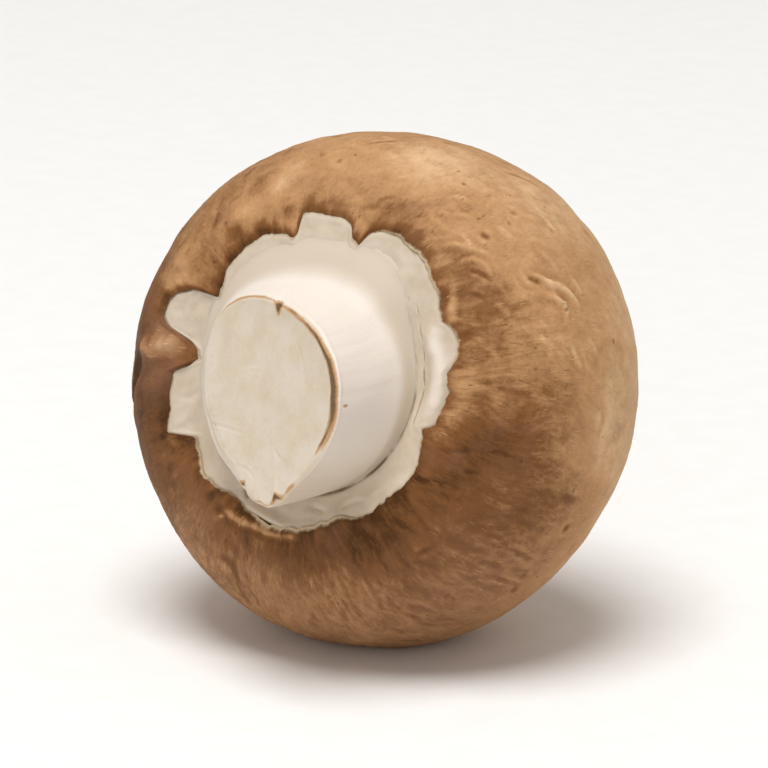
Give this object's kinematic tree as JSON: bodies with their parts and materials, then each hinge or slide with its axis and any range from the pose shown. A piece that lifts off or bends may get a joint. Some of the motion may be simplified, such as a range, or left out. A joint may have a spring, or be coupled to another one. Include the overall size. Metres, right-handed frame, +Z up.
{
  "type": "brown mushroom",
  "caption": "Fresh closed-cup brown mushroom lying on its side: rounded cap with torn skin edge, white veil and short obliquely cut stem.",
  "frame": {"origin": "on the resting surface, at the centre of the box round the lying mushroom", "axes": "+Z up; the stem points to -Y, its end raised by 18 degrees; +X is to the right as seen from the stem's end"},
  "size_m": [0.0504, 0.0448, 0.0483],
  "materials": {
    "cap_skin": "matte brown mushroom skin with fine radial fibres",
    "veil_flesh": "soft matte off-white mushroom flesh",
    "stem_flesh": "soft matte cream mushroom flesh, its cut rim browned"
  },
  "bodies": {
    "root": {"cap": "cap_skin", "veil": "veil_flesh", "stem": "stem_flesh"}
  },
  "joints": []
}
